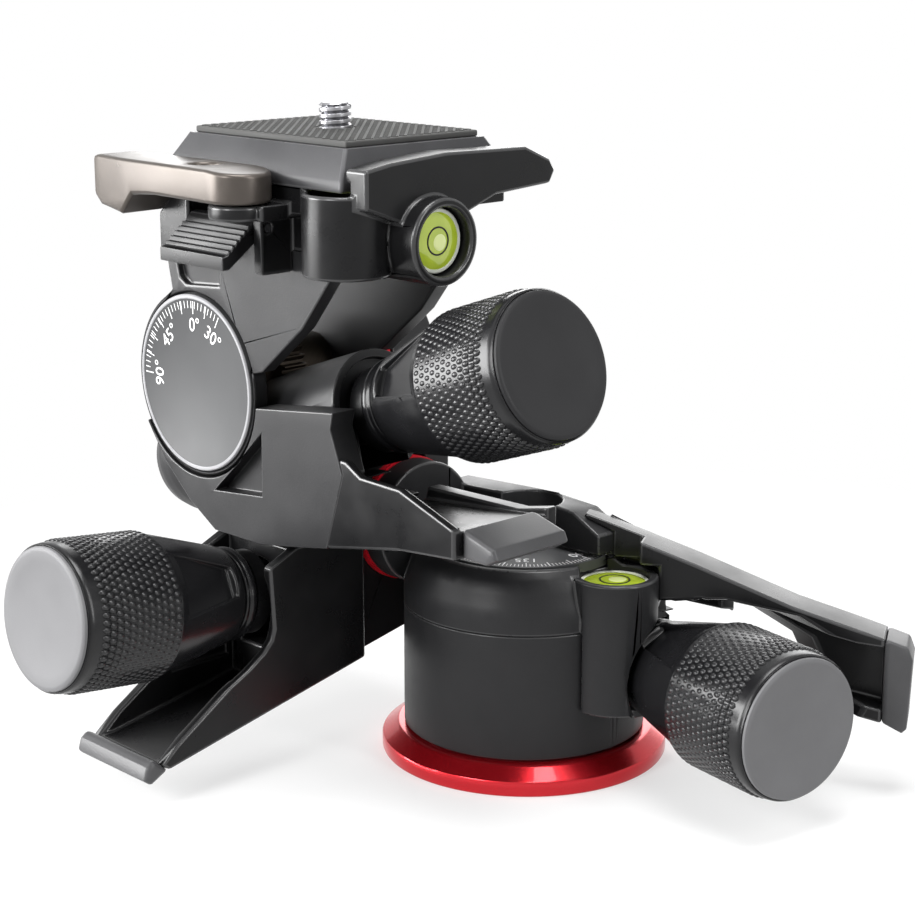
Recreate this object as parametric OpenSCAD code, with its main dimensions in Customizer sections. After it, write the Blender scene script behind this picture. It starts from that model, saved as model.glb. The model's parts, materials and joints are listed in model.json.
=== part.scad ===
// Three-way geared head for a tripod: pan, front tilt and side tilt, each on a worm gear.
// Millimetres. +Z is up, +X runs with the side-tilt knob, -Y faces the big round scale.
// The origin is the centre of the base's underside, on the pan axis.

/* [Base] */
// Radius of the base ring on the tripod
base_r = 30; // [28:0.5:34]
// Height of the base ring
ring_h = 5.5; // [4:0.5:7]
// Height of the ring's upright outer band
ring_band_h = 3.3; // [2:0.1:3.8]
// Height of the underside recess inside the ring
ring_lip = 0.6; // [0.3:0.1:1.2]
// Radius of the threaded hole for the tripod screw
thread_r = 4.76; // [4.5:0.01:5.2]
// Depth of the threaded hole
thread_depth = 11; // [8:0.5:14]
// Radius of the post that the head turns on
post_r = 7.5; // [7:0.1:9]

/* [Pan housing] */
// Outer radius of the round pan housing
drum_r = 25.3; // [24.5:0.1:27]
// Height of the seam between drum and casing
drum_top = 32; // [30:0.5:33]
// Height of the casing's flat top
casing_top = 44.4; // [43.5:0.1:46]
// Width of the casing's rounded shoulder
shoulder = 4.6; // [2:0.2:5.5]
// Wall thickness of the housings
wall = 2.2; // [1.6:0.1:2.8]
// Radius of the pan scale disc
pan_scale_r = 19.2; // [17:0.1:20]
// Outer radius of the level boss on the pan housing
level_boss_r = 8.8; // [8:0.1:9.5]
// Distance of the level boss from the pan axis
level_boss_reach = 25; // [23:0.5:27]

/* [Tilt axes] */
// How far the front-tilt axle lies behind the dial side of the pan axis
front_y = -10; // [-11:0.5:-9]
// Height of the front-tilt axle
front_z = 46.5; // [46:0.5:48]
// Radius of the round joint faces at the front-tilt axle
front_hub_r = 13; // [12:0.25:14]
// Distance of the front-tilt joint face from the pan axis
front_joint_x = 26.5; // [26:0.25:28]
// Sideways distance of the side-tilt axle from the pan axis
side_x = -50; // [-52:0.5:-49]
// Height of the side-tilt axle
side_z = 77.2; // [76:0.2:79]
// Radius of both tilt axles
axle_r = 3.5; // [3:0.1:4]

/* [Dial] */
// Radius of the big scale disc
dial_r = 18.4; // [17.5:0.1:19]
// Thickness of the big scale disc
dial_t = 1.4; // [1:0.1:1.8]
// Radius of the red ring at the side-tilt joint
top_ring_r = 19; // [18:0.25:20]
// Distance of the casing's flat front face from the pan axis
face_y = -46.4; // [-48:0.2:-45.6]

/* [Gears] */
// Teeth on each worm wheel
wheel_teeth = 36; // [30:1:38]
// Module of the gear teeth
tooth_module = 0.6; // [0.56:0.01:0.62]
// Pitch radius of each worm
worm_pitch_r = 3.6; // [3.3:0.1:3.8]
// Face width of each worm wheel
wheel_w = 6; // [4:0.5:6.5]
// Length of the threaded part of each worm
worm_len = 10; // [8:0.5:11]

/* [Knobs] */
// Length of a knob from root to cap
knob_len = 45; // [43:0.5:47]
// Radius of a knob at its root
knob_root_r = 9.7; // [9:0.1:10.5]
// Radius of a knob at its knurled band
knob_r = 14.9; // [14:0.1:15.2]
// Distance from the root to the knurled band
knob_cone_len = 23; // [20:0.5:26]
// Radius of the cap on a knob's end
cap_r = 14; // [13:0.1:14]
// Radius of the worm shafts
shaft_r = 2.4; // [2.2:0.1:2.6]

/* [Knob directions] */
// Upward slope of the side-tilt knob
side_slope = 19; // [18.5:0.25:20]
// Upward slope of the front-tilt knob
front_slope = 6; // [5.5:0.25:7]
// Turn of the pan knob from the +X direction
pan_turn = 10; // [9:0.25:11]
// Distance of the side-tilt knob's root from its worm
side_root = 39.5; // [39:0.5:42]
// Distance of the front-tilt knob's root from its worm
front_root = 39; // [38:0.5:41]
// Distance of the pan knob's root from its worm
pan_root = 24; // [23.5:0.5:26]
// Plane of the side-tilt worm
side_worm_y = -28.5; // [-29:0.25:-28]
// Plane of the front-tilt worm
front_worm_x = -35; // [-36:0.25:-34.5]
// Height of the pan worm
pan_worm_z = 22; // [21:0.5:23]
// Swing that takes a worm out of its wheel
swing_angle = 7; // [6:0.25:7.5]

/* [Quick release] */
// Length of the camera plate
plate_len = 52.5; // [51:0.5:54]
// Width of the camera plate
plate_w = 42.6; // [41:0.2:44]
// Length of the rubber-faced top of the plate
pad_len = 47.5; // [46:0.5:49]
// Width of the rubber-faced top of the plate
pad_w = 35.9; // [35:0.1:38]
// Height of the plate's top face above the base
plate_top = 128.8; // [127:0.2:131]
// Thickness of the plate
plate_t = 7.8; // [7:0.2:8.4]
// Thickness of the rubber pad
pad_t = 1.2; // [0.8:0.1:1.6]
// Radius of the camera screw
screw_r = 3.175; // [3.1:0.005:3.2]
// Height of the camera screw above the pad
screw_up = 5; // [4:0.5:6]
// Sideways place of the plate's centre
plate_x = -24.3; // [-25:0.1:-23.5]
// Front-to-back place of the plate's centre
plate_y = -29.5; // [-30:0.1:-29]
// Height of the receiver's underside
receiver_z = 104; // [102:0.5:105]
// Outer radius of the two upper level housings
vial_tube_r = 8.3; // [8:0.1:8.6]

/* [Clearances] */
// Gap between parts that turn against each other
run_gap = 0.4; // [0.3:0.05:0.6]
// Radial gap of a shaft in its hole
shaft_gap = 0.05; // [0.02:0.01:0.09]

/* [Hidden] */
$fn = 64;

eps = 0.01;
past = 1;
gear_distance = tooth_module * wheel_teeth / 2 + worm_pitch_r;
wheel_r = tooth_module * wheel_teeth / 2;
tooth_up = 0.55 * tooth_module / 0.6;
tooth_down = 0.75 * tooth_module / 0.6;
flank_gap = 0.15;
worm_lead = PI * tooth_module;
worm_tip_r = worm_pitch_r + tooth_up;
end_cone = 0.3;
worm_root_r = worm_pitch_r - tooth_down;
wheel_tip_r = wheel_r + tooth_up;

drum_in_r = drum_r - wall;
hub_top = ring_h + 1.2;
pan_floor = ring_h + 0.5;
scale_z = casing_top - 1.8;
seat_z = plate_top - plate_t;
lever_x = -20;
lever_y = plate_y - plate_w / 2 - 6.7;
lever_z = seat_z - 2.8;
catch_y = -52;
catch_z = 113;

pivot_s = -12;
pivot_r = 1.5;
carrier_r = 6;
barrel_r = 12.5;
barrel_end = -24;
barrel_mouth = 35;
carrier_gap = 0.8;
side_hub_r = 6.7;
knob_gap = 1;
neck_r = screw_r - 0.6;
tube_x = -2.4;
casing_back = front_y - front_hub_r - run_gap;

// ---- places -------------------------------------------------------------------------------

// Each worm's own place: +Z along the knob, +X away from the wheel, origin nearest the wheel.
module at_side_worm() {
    translate([side_x, side_worm_y, side_z]) rotate([0, 90 - side_slope, 0])
        translate([gear_distance, 0, 0]) children();
}

module at_front_worm() {
    translate([front_worm_x, front_y, front_z]) rotate([90 - front_slope, 0, 0])
        rotate([0, 0, -90]) translate([gear_distance, 0, 0]) children();
}

module at_pan_worm() {
    translate([0, 0, pan_worm_z]) rotate([0, 90, -pan_turn]) rotate([0, 0, 90])
        translate([gear_distance, 0, 0]) children();
}

// Cylinder along X from x0 to x1.
module bar_x(r, x0, x1) {
    translate([x0, 0, 0]) rotate([0, 90, 0]) cylinder(r = r, h = x1 - x0);
}

// Cylinder along Y from y0 to y1.
module bar_y(r, y0, y1) {
    translate([0, y1, 0]) rotate([90, 0, 0]) cylinder(r = r, h = y1 - y0);
}

// Plate with an outline drawn in X and Z, from y0 to y1.
module slab_y(y0, y1) {
    translate([0, y1, 0]) rotate([90, 0, 0]) linear_extrude(y1 - y0) children();
}

// Plate with an outline drawn in Y and Z, from x0 to x1.
module slab_x(x0, x1) {
    translate([x0, 0, 0]) rotate([90, 0, 90]) linear_extrude(x1 - x0) children();
}

// A point of the local X,Z plane after the carrier's full swing.
function swung(x, s) = [
    x * cos(swing_angle) + (s - pivot_s) * sin(swing_angle),
    pivot_s + (s - pivot_s) * cos(swing_angle) - x * sin(swing_angle)];

// Room that a knob sweeps beside its arm when it is squeezed, as shares of the knob's radius.
module knob_room(root, wide, deep) {
    near = deep * (knob_root_r + knob_gap);
    far = deep * (knob_r + knob_gap);
    half = wide * (knob_r + knob_gap);
    rotate([90, 0, 0]) translate([0, 0, -half]) linear_extrude(2 * half) polygon([
        [-4, root - 4], swung(near, root - 4), swung(far, root + knob_cone_len),
        swung(far, root + knob_len + knob_gap), [-4, root + knob_len + 3]]);
}

// Scoop that the squeezed knob needs in an arm that stands close: flat facets round its axis.
module arm_scoop(root) {
    for (turn = [0, swing_angle / 2, swing_angle], k = [1 : 3]) {
        from = (k - 1) * knob_cone_len / 2;
        long = k < 3 ? knob_cone_len / 2 : knob_len - knob_cone_len + knob_gap;
        wide = knob_root_r + (knob_r - knob_root_r) * min(k / 2, 1) + knob_gap;
        translate([0, 0, pivot_s]) rotate([0, turn, 0])
            translate([0, 0, root + from - pivot_s]) linear_extrude(long)
                polygon([for (i = [0 : 11]) wide * [cos(30 * i), sin(30 * i)] / cos(15)]);
    }
}

// Flat-sided room that something reaching `deep` from the knob's axis sweeps from s0 to s1.
module swing_room(half, deep, s0, s1) {
    rotate([90, 0, 0]) translate([0, 0, -half]) linear_extrude(2 * half)
        polygon([[0, s0], swung(deep, s0), swung(deep, s1), [0, s1]]);
}

// Round way out for a carrier and the root of its knob, open on the arm's side.
module root_room(root, from) {
    translate([0, 0, root - 6]) cylinder(r = knob_root_r + knob_gap, h = 14);
    swing_room(knob_root_r, knob_root_r + knob_gap, root - 6, root + 8);
    translate([0, 0, from]) cylinder(r = carrier_r + 1, h = root - from);
    swing_room(carrier_r, carrier_r + 1, max(from, pivot_s + 6), root);
}

// ---- worm gears -----------------------------------------------------------------------------

// One wheel: straight teeth round a bore, with a gap of teeth on the +X side.
module worm_wheel(bore) {
    half = tooth_module * PI / 4 - flank_gap;
    slope = tan(20);
    tip_half = half - tooth_up * slope;
    root_half = half + tooth_down * slope;
    root_r = wheel_r - tooth_down;
    outline = [for (i = [0 : wheel_teeth - 1])
        let (mid = (i + 0.5) * 360 / wheel_teeth)
        for (corner = [[root_r, -root_half], [wheel_tip_r, -tip_half], [wheel_tip_r, tip_half],
                       [root_r, root_half]])
            let (turn = mid + corner[1] / corner[0] * 180 / PI)
            [corner[0] * cos(turn), corner[0] * sin(turn)]];
    translate([0, 0, -wheel_w / 2]) difference() {
        linear_extrude(wheel_w) polygon(outline);
        translate([0, 0, -past]) cylinder(r = bore, h = wheel_w + 2 * past);
    }
}

// Right-hand thread and its core as one closed screw surface, crest towards the wheel at the
// middle, with a shallow cone over each end.
module worm_thread() {
    steps = 18;
    half = tooth_module * PI / 4 - flank_gap;
    tip_half = half - tooth_up * tan(20);
    root_half = half + tooth_down * tan(20);
    count = floor((worm_len / worm_lead - 1) * steps);
    points = [for (i = [0 : count])
        let (turn = 180 + (i - count / 2) * 360 / steps, s = (i - count / 2) * worm_lead / steps)
        for (corner = [[worm_root_r, -root_half], [worm_tip_r, -tip_half],
                       [worm_tip_r, tip_half], [worm_root_r, root_half]])
            [corner[0] * cos(turn), corner[0] * sin(turn), s + corner[1]]];
    low = len(points);
    high = low + 1;
    low_end = [0, 0, points[0][2] - end_cone];
    high_end = [0, 0, points[low - 1][2] + end_cone];
    crest = [for (i = [0 : count - 1], k = [0 : 2])
        let (a = 4 * i + k) for (face = [[a, a + 1, a + 5], [a, a + 5, a + 4]]) face];
    root = [for (i = [0 : count - steps - 1])
        let (a = 4 * i + 3, b = 4 * (i + steps))
            for (face = [[a, b, b + 4], [a, b + 4, a + 4]]) face];
    low_rim = concat([for (i = [0 : steps]) 4 * i], [3, 2, 1, 0]);
    high_rim = concat([for (i = [count - steps : count]) 4 * i + 3],
                      [4 * count + 2, 4 * count + 1, 4 * count, 4 * (count - steps) + 3]);
    low_fan = [for (i = [0 : len(low_rim) - 2]) [low, low_rim[i + 1], low_rim[i]]];
    high_fan = [for (i = [0 : len(high_rim) - 2]) [high, high_rim[i], high_rim[i + 1]]];
    polyhedron(concat(points, [low_end, high_end]),
               [for (face = concat(crest, root, low_fan, high_fan)) [face[0], face[2], face[1]]],
               convexity = 10);
}

module worm(root) {
    union() {
        worm_thread();
        translate([0, 0, pivot_s + 4]) cylinder(r = shaft_r, h = root + 6 - pivot_s - 4);
    }
}

// Swinging bracket that holds a worm: open towards the wheel, with a pivot ear behind.
module carrier(root) {
    nose = root - run_gap;
    difference() {
        union() {
            translate([0, 0, -worm_len / 2 - 4]) cylinder(r = carrier_r, h = nose + worm_len / 2 + 4);
            translate([0, 0, nose - 3.5]) cylinder(r = knob_root_r - 1, h = 3.5);
            translate([0, 0, pivot_s]) bar_y(3.4, -carrier_r + 1, carrier_r - 1);
            translate([-3.4, -carrier_r + 1, pivot_s])
                cube([6.8, 2 * carrier_r - 2, 12 - worm_len / 2]);
        }
        translate([0, 0, pivot_s]) bar_y(pivot_r + shaft_gap, -carrier_r - past, carrier_r + past);
        translate([0, 0, pivot_s + 4 - run_gap])
            cylinder(r = shaft_r + shaft_gap, h = root - pivot_s);
        translate([0, 0, -worm_len / 2 - run_gap])
            cylinder(r = worm_tip_r + run_gap, h = worm_len + 2 * run_gap);
        translate([-carrier_r - past, -carrier_r - past, -worm_len / 2 - run_gap])
            cube([carrier_r + past, 2 * (carrier_r + past), worm_len + 2 * run_gap]);
        translate([-gear_distance, 0, 0])
            bar_y(wheel_tip_r + carrier_gap, -carrier_r - past, carrier_r + past);
    }
}

module pivot_pin(half_len) {
    translate([0, 0, pivot_s]) bar_y(pivot_r, -half_len, half_len);
}

// ---- knobs ----------------------------------------------------------------------------------

module knob(root) {
    band = 17;
    translate([0, 0, root]) difference() {
        rotate_extrude() polygon([
            [shaft_r + shaft_gap, 0], [knob_root_r - 1, 0], [knob_root_r, 0.8],
            [knob_root_r, 2.2], [knob_root_r - 0.7, 2.6], [knob_root_r - 0.7, 3.4],
            [knob_root_r + 0.4, 4.2], [knob_r - 0.4, knob_cone_len - 0.6],
            [knob_r, knob_cone_len], [knob_r, knob_cone_len + band * 0.6],
            [knob_r - 0.3, knob_cone_len + band], [cap_r + 0.6, knob_len - 2.2],
            [cap_r + 0.3, knob_len - 1], [cap_r, knob_len - 0.8],
            [cap_r, knob_len - 2.4], [shaft_r + shaft_gap, knob_len - 2.4]]);
        for (k = [0 : 2]) rotate([0, 0, 120 * k]) knob_scoop();
    }
}

// Trapezoid finger recess on the cone, wide end at the knurl.
module knob_scoop() {
    depth = 1.6;
    rise = atan((knob_r - knob_root_r - 0.8) / (knob_cone_len - 4.8));
    translate([knob_root_r + 0.4 - depth, 0, 5.5]) rotate([0, rise, 0])
        rotate([90, 0, 90]) linear_extrude(8)
            polygon([[-3, 1], [3, 1], [6.4, knob_cone_len - 7], [-6.4, knob_cone_len - 7]]);
}

module knob_cap(root) {
    dish = 0.8;
    translate([0, 0, root + knob_len - 2.4]) rotate_extrude()
        polygon([[0, 0], [cap_r - shaft_gap, 0], [cap_r - shaft_gap, 1.9],
                 [cap_r - 0.8, 2.4], [cap_r / 2, 2.4 - dish / 2], [0, 2.4 - dish]]);
}

// ---- base -----------------------------------------------------------------------------------

module base_ring() {
    color("firebrick") rotate_extrude() polygon([
        [drum_in_r, ring_lip], [drum_in_r + 2, 0], [base_r - 0.6, 0], [base_r, 0.6],
        [base_r, ring_band_h - 0.4], [base_r - 0.4, ring_band_h],
        [drum_r + 1.2, ring_h], [drum_in_r, ring_h]]);
}

module base_hub() {
    color("silver") difference() {
        union() {
            translate([0, 0, ring_lip]) cylinder(r = drum_in_r - 0.01, h = hub_top - ring_lip);
            cylinder(r = post_r + 3, h = pan_worm_z - wheel_w / 2);
            cylinder(r = post_r, h = scale_z);
        }
        translate([0, 0, -past]) cylinder(r = thread_r, h = thread_depth + past);
    }
}

module pan_wheel() {
    color("peru") translate([0, 0, pan_worm_z]) rotate([0, 0, 90 - pan_turn])
        worm_wheel(post_r);
}

module pan_scale() {
    color("dimgray") translate([0, 0, scale_z]) difference() {
        cylinder(r = pan_scale_r, h = 2);
        translate([0, 0, 1.4]) cylinder(r = post_r, h = past);
    }
}

// ---- pan housing ------------------------------------------------------------------------------

// Way out of the pan housing for the worm carrier and the root of its knob.
module pan_mouth() {
    at_pan_worm() root_room(pan_root, 4);
}

module pan_drum() {
    color("#1c1c1e") difference() {
        union() {
            difference() {
                union() {
                    translate([0, 0, pan_floor]) cylinder(r = drum_r, h = drum_top - pan_floor);
                    pan_socket();
                }
                translate([0, 0, hub_top + run_gap]) cylinder(r = drum_in_r, h = drum_top);
            }
            pan_lugs();
        }
        at_pan_worm() pivot_pin(8.75);
        translate([0, 0, pan_floor - past]) cylinder(r = drum_in_r + run_gap, h = 3);
        pan_mouth();
        translate([0, 0, drum_top]) cylinder(r = 3 * drum_r, h = 2 * drum_r);
    }
}

// Two lugs on the inside of the drum that hold the pin of the pan worm carrier.
module pan_lugs() {
    intersection() {
        translate([0, 0, pan_floor]) cylinder(r = drum_r - eps, h = drum_top - pan_floor);
        at_pan_worm() for (side = [-1, 1])
            translate([-3.4, side * 7.5 - 1.25, pivot_s - 3.4]) cube([20, 2.5, 6.8]);
    }
}

// Short snout of the drum round the pan knob's root.
module pan_socket() {
    at_pan_worm() translate([0, 0, 4])
        cylinder(r = knob_root_r + 2.6, h = pan_root - 5.5);
}

// Outside of the pan casing: round shell, level boss and upright.
module pan_body() {
    boss_z = 15.5;
    translate([0, 0, drum_top]) rotate_extrude() polygon([
        [0, 0], [drum_r, 0], [drum_r, casing_top - drum_top - shoulder * 1.9],
        [drum_r - shoulder * 0.45, casing_top - drum_top - shoulder * 0.5],
        [drum_r - shoulder, casing_top - drum_top], [0, casing_top - drum_top]]);
    translate([level_boss_reach, 0, boss_z])
        cylinder(r = level_boss_r, h = casing_top - 1.5 - boss_z);
    pan_upright();
}

module pan_casing() {
    color("#1c1c1e") difference() {
        pan_body();
        translate([0, front_y, front_z]) {
            bar_x(front_hub_r + 0.3 + run_gap, -2 * front_joint_x, -front_joint_x + 1.6);
            bar_x(axle_r, -front_joint_x, -front_joint_x + 6);
        }
        translate([0, 0, drum_top - past])
            cylinder(r = drum_in_r, h = scale_z - 1 - drum_top);
        translate([0, 0, drum_top]) cylinder(r = post_r + shaft_gap, h = 3 * wall + casing_top);
        translate([0, 0, scale_z - run_gap]) cylinder(r = pan_scale_r + run_gap, h = 3);
        translate([level_boss_reach, 0, casing_top - 9])
            cylinder(r = level_boss_r - 1.8, h = 10);
        cylinder(r = drum_r + run_gap, h = drum_top);
        pan_mouth();
        at_pan_worm() translate([0, 0, pan_root - 1])
            cylinder(r1 = knob_root_r + 0.8, r2 = knob_r + knob_gap, h = knob_cone_len + 1);
    }
}

// Upright beside the pan disc: a round joint face on the left and a sloping web behind.
module pan_upright() {
    foot_x = -drum_r + 6;
    translate([0, front_y, front_z]) bar_x(front_hub_r, -front_joint_x + 1.6, foot_x);
    slab_y(0.5, 8) polygon([
        [-front_joint_x + 1.6, casing_top - 4], [-front_joint_x + 1.6, 52.6],
        [-18, 53], [-10, 53.4], [2, 53.8], [13, 53.2], [20, 49.6], [20, drum_top + 2]]);
}

// Finger arm of the pan knob: a tall channel, open towards the knob.
module pan_arm() {
    arm_turn = 31.4;
    reach = 62;
    color("#1c1c1e") translate([13, 3.3, 0]) rotate([0, 0, arm_turn]) difference() {
        union() {
            slab_y(-7, 2.4) polygon([
                [13, 34], [13, 49.3], [24, 45.6], [44, 38.2], [56, 34.8], [reach, 33],
                [reach, 15.5], [50, 18], [30, 23], [13, 30]]);
            slab_y(-2.5, 2.4) polygon([[1, 34], [1, 53.2], [13, 49.3], [13, 34]]);
        }
        slab_y(-8, -1.2) polygon([
            [17, 31], [17, 37.4], [31, 38.6], [41, 35.2], [57, 31.6], [reach + 2, 31],
            [reach + 2, 18], [50, 20.6], [32, 25.4], [19, 29.6]]);
        rotate([0, 0, -arm_turn]) translate([-13, -3.3, 0]) {
            pan_body();
            translate([0, 0, scale_z - run_gap]) cylinder(r = pan_scale_r + run_gap, h = 3);
            translate([level_boss_reach, 0, 0]) cylinder(r = level_boss_r, h = casing_top);
            cylinder(r = drum_r, h = drum_top);
            pan_mouth();
            at_pan_worm() arm_scoop(pan_root);
        }
    }
}

module pan_arm_tip() {
    color("#2a2a2c") translate([13, 3.3, 0]) rotate([0, 0, 31.4])
        slab_y(-7, 2.4) polygon([
            [62, 33], [66.5, 31.6], [67.5, 29], [67, 14.6], [66, 13.6], [62, 15.5]]);
}

module pan_vial() {
    color("yellowgreen") translate([level_boss_reach, 0, casing_top - 9])
        cylinder(r = level_boss_r - 1.8, h = 6.4);
}

module pan_pivot_pin() {
    color("silver") at_pan_worm() pivot_pin(7.5);
}

module front_axle() {
    color("silver") translate([0, front_y, front_z])
        bar_x(axle_r, -68, -front_joint_x + 6);
}

module front_wheel() {
    color("peru") translate([front_worm_x, front_y, front_z]) rotate([0, 90, 0])
        rotate([0, 0, -front_slope]) worm_wheel(axle_r);
}

module front_ring() {
    color("crimson") translate([0, front_y, front_z]) difference() {
        bar_x(front_hub_r + 0.3, -front_joint_x, -front_joint_x + 1.6);
        bar_x(axle_r, -front_joint_x - past, -front_joint_x + 3);
    }
}

// ---- tilt body ------------------------------------------------------------------------------

// Way out of the tilt casing for the side-tilt carrier, open towards the arm.
module side_mouth() {
    at_side_worm() root_room(side_root, pivot_s - 4.4);
}

module side_gear_room() {
    translate([side_x, 0, side_z]) {
        bar_y(wheel_tip_r + 0.8, side_worm_y - wheel_w / 2 - 0.6, side_worm_y + wheel_w / 2 + 0.6);
        bar_y(side_hub_r + run_gap, side_worm_y - 20, side_worm_y + 20);
    }
}

// Rooms round the front-tilt wheel and round the joint face on the pan housing.
module front_gear_room() {
    translate([0, front_y, front_z]) {
        bar_x(wheel_tip_r + 0.8, front_worm_x - wheel_w / 2 - 0.6,
              front_worm_x + wheel_w / 2 + 0.6);
        bar_x(front_hub_r + 0.3 + run_gap, -front_joint_x - run_gap, front_joint_x);
    }
}

// Outside of the round barrel that holds the side-tilt worm.
module side_barrel() {
    at_side_worm() rotate_extrude() polygon([
        [0, barrel_mouth], [barrel_r, barrel_mouth], [barrel_r, barrel_end],
        for (turn = [15 : 15 : 75])
            [barrel_r * cos(turn), barrel_end - barrel_r * sin(turn)],
        [0, barrel_end - barrel_r * sin(75)]]);
}

module tilt_casing() {
    color("#1c1c1e") difference() {
        union() {
            slab_y(face_y, -40.5) polygon([
                [-67.2, 66.5], [-61.4, 58.7], [-53, 51.6], [-44.7, 46.8], [-29.8, 46.8],
                [-17.1, 48.9], [-9, 50.4], [-4, 66], [-7.4, 74.6], [-6.6, 78], [-31, 75],
                [-50, 77.2]]);
            slab_y(-40.6, casing_back) polygon([
                [-56, 54], [-53, 51.6], [-44.7, 46.8], [-29.8, 46.8], [-17.1, 48.9],
                [-9, 50.4], [-7, 58], [-30, 58]]);
            side_barrel();
        }
        slab_y(face_y - past, -40.5 + eps) translate([side_x, side_z]) circle(r = dial_r + 1.4);
        side_mouth();
        side_gear_room();
        front_gear_room();
        at_side_worm() pivot_pin(9);
        slab_y(face_y - past, face_y + 3)
            polygon([[-44.3, 55.5], [-28.6, 70], [-28.8, 57.1]]);
    }
}

module rear_wall() {
    color("#242426") difference() {
        union() {
            translate([side_x, 0, side_z]) bar_y(top_ring_r, -8.4, 4);
            slab_y(-3, 4) polygon([
                [side_x - 18, 76], [side_x - 18, front_z], [-front_joint_x - 0.6, front_z],
                [-front_joint_x - 0.6, 72], [side_x + 17.6, side_z + 5]]);
        }
        translate([side_x, 0, side_z]) bar_y(axle_r, -20, 2);
        translate([0, front_y, front_z]) bar_x(front_hub_r, -80, 0);
        side_barrel();
    }
}

// Lower casing round the front-tilt axle, with the socket of the front-tilt knob.
module hinge_casing() {
    color("#1c1c1e") difference() {
        union() {
            translate([0, front_y, front_z]) bar_x(front_hub_r, -70, -front_joint_x - run_gap);
            slab_x(-62, -front_joint_x - run_gap) polygon([
                [4, front_z], [4, 30], [-2, 23.4], [-24, 18.9], [-24, 46.8],
                [casing_back, 46.8], [casing_back, front_z]]);
        }
        front_mouth();
        front_gear_room();
        side_barrel();
        at_front_worm() pivot_pin(9);
        translate([side_x, 0, side_z]) bar_y(dial_r + 1.4, -15, -8.4);
        translate([0, front_y, front_z]) bar_x(axle_r + shaft_gap, -80, 0);
    }
}

module front_mouth() {
    at_front_worm() root_room(front_root, pivot_s - 4.4);
}

module centre_arm() {
    color("#1c1c1e") difference() {
        slab_y(-46.4, -19) polygon([
            [-9, 50.4], [12.4, 54.5], [27, 55.8], [27, 61.4], [12, 66.4], [1.2, 66.7], [-3, 69],
            [-5.2, 69], [-4, 66]]);
        slab_y(-43.4, -22) polygon([[-12, 56], [12, 58], [30, 60], [30, 90], [-12, 90]]);
        side_mouth();
        at_side_worm() knob_room(side_root, 1, 1);
    }
}

module centre_arm_tip() {
    color("#2a2a2c")
        slab_y(-44.5, -25) polygon([[27, 55.8], [33, 55.6], [36, 57.2], [35, 59.2], [27, 61.4]]);
}

// Finger arm of the front-tilt knob: a channel with the knob's socket at its root.
module left_arm() {
    color("#1c1c1e") difference() {
        slab_x(-46.8, -23.2) polygon([
            [-24, 46.8], [-24, 19.1], [-75.4, 8.2], [-77, 9.5], [-71.8, 13.8], [-61.3, 20.6],
            [-55.4, 23.6], [-51.4, 26.2], [-49.2, 28.6], [-48.4, 31], [-49.2, 43.6], [-42, 46.8]]);
        slab_x(-44.4, -25.6) polygon([
            [-43, 24], [-43, 15.6], [-50, 14.2], [-74, 9.8], [-84, 9.8], [-84, 50], [-43, 50]]);
        front_mouth();
        front_gear_room();
        side_barrel();
        translate([side_x, 0, side_z]) bar_y(dial_r + 1.4, -48, -8.4);
        slab_y(-41, casing_back) polygon([
            [-56, 54], [-53, 51.6], [-44.7, 46.8], [-29.8, 46.8], [-17.1, 48.9], [-9, 50.4]]);
    }
}

module left_arm_tip() {
    color("#2a2a2c")
        slab_x(-46.8, -23.2) polygon([
            [-75.4, 8.2], [-79.6, 6], [-81.2, 7.4], [-80.4, 9.8], [-78.6, 11.1], [-77, 9.5]]);
}

module scale_disc() {
    color("dimgray") translate([side_x, 0, side_z]) bar_y(dial_r, face_y, face_y + dial_t);
}

module side_axle() {
    color("silver") translate([side_x, 0, side_z]) bar_y(axle_r, face_y + dial_t, 2);
}

module side_pivot_pin() {
    color("silver") at_side_worm() pivot_pin(9);
}

module front_pivot_pin() {
    color("silver") at_front_worm() pivot_pin(9);
}

// ---- top --------------------------------------------------------------------------------------

// One cheek from y0 to y1: round at the axle, rising to the receiver.
module cheek(y0, y1) {
    union() {
        translate([side_x, 0, side_z]) bar_y(dial_r + 0.6, y0, y1);
        slab_y(y0, y1) polygon([
            [side_x - dial_r + 5, side_z + 12], [-57.5, 96], [-60.1, receiver_z + 4],
            [-6.7, receiver_z + 4], [-6.7, receiver_z], [-15.8, 92.9], [-28.4, 82.6],
            [side_x, side_z]]);
    }
}

module front_cheek() {
    color("#1c1c1e") difference() {
        cheek(-46, -42.4);
        translate([side_x, 0, side_z]) {
            bar_y(dial_r + 0.5, face_y - past, face_y + dial_t + run_gap);
            bar_y(axle_r + shaft_gap, -60, 0);
        }
        translate([tube_x, -46, receiver_z]) cylinder(r = vial_tube_r, h = 16);
        slab_y(-46 - past, -44.6) polygon([
            [-55.4, 101.6], [-54.6, 98.6], [-52.6, 97.4], [-41.6, 98.2], [-41.6, 102]]);
    }
}

module rear_cheek() {
    color("#1c1c1e") difference() {
        cheek(-14.6, -10.6);
        translate([side_x, 0, side_z]) bar_y(axle_r + shaft_gap, -60, 0);
    }
}

module side_wheel() {
    color("peru") difference() {
        union() {
            translate([side_x, side_worm_y, side_z]) rotate([90, 0, 0])
                rotate([0, 0, side_slope - 90]) worm_wheel(axle_r + shaft_gap);
            translate([side_x, 0, side_z]) bar_y(side_hub_r, -42.4, -14.6);
        }
        translate([side_x, 0, side_z]) bar_y(axle_r + shaft_gap, -60, 0);
    }
}

module top_ring() {
    color("crimson") translate([side_x, 0, side_z]) difference() {
        bar_y(top_ring_r, -10.6, -9);
        bar_y(axle_r + shaft_gap, -20, 0);
    }
}

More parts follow.
